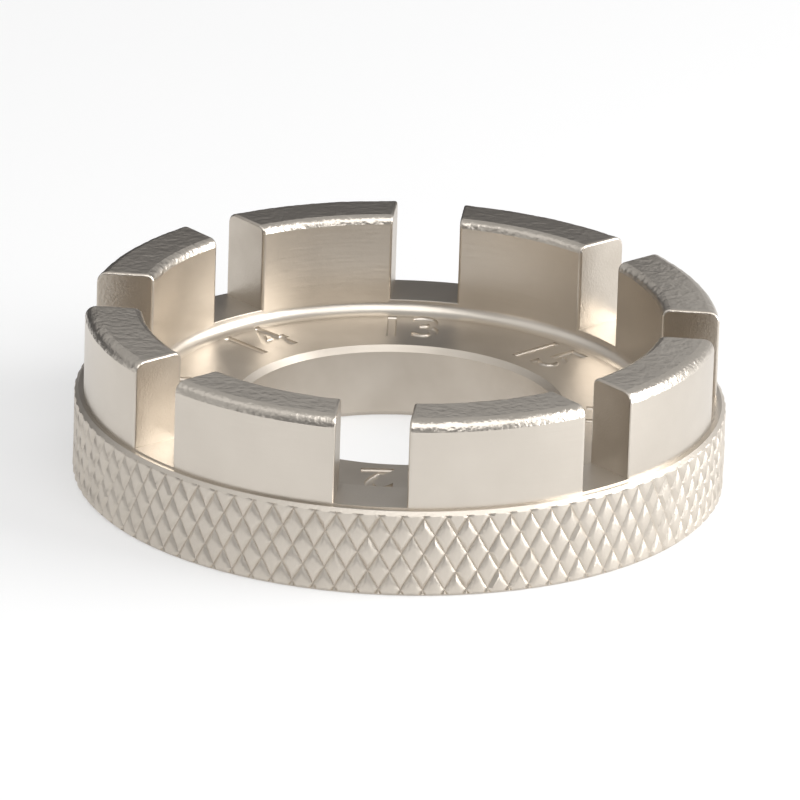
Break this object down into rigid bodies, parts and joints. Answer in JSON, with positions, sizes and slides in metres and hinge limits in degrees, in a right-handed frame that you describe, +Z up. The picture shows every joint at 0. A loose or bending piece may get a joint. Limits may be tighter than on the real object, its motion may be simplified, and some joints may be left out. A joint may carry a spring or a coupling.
{
  "type": "spoke wrench",
  "caption": "Ring spoke wrench: a plated steel disc with an open bore, a knurled rim to grip and standing jaws, whose slots fit the flats of spoke nipples of several gauges.",
  "frame": {"origin": "middle of the flat underside, on the bore's axis", "axes": "+Z up along the bore's axis, from the underside to the jaw tops; +X out through the middle of the 11 gauge slot; +Y out through the middle of the 13 gauge slot"},
  "size_m": [0.04, 0.04, 0.011],
  "materials": {
    "nickel_plated_steel": "satin nickel plate"
  },
  "bodies": {
    "root": {"wrench_body": "nickel_plated_steel"}
  },
  "joints": []
}
